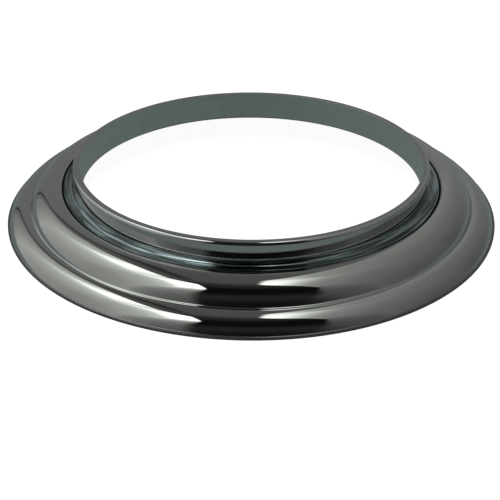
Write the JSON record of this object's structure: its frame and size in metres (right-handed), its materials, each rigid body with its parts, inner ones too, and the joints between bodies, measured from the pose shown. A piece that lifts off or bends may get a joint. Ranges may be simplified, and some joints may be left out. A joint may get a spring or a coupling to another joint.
{
  "type": "tub spout flange",
  "caption": "Round stepped trim ring with a plain bore and collar that goes round a tub spout at the wall and covers the hole behind it.",
  "frame": {"origin": "centre of the ring on the wall plane, at the underside of its rim", "axes": "+Z along the bore, away from the wall; X and Y lie in the wall plane"},
  "size_m": [0.0826, 0.0826, 0.0094],
  "materials": {
    "polished_plate": "dark mirror-polished chrome plate, satin in the bore and on the hollow wall side"
  },
  "bodies": {
    "root": {"spout_flange": "polished_plate"}
  },
  "joints": []
}
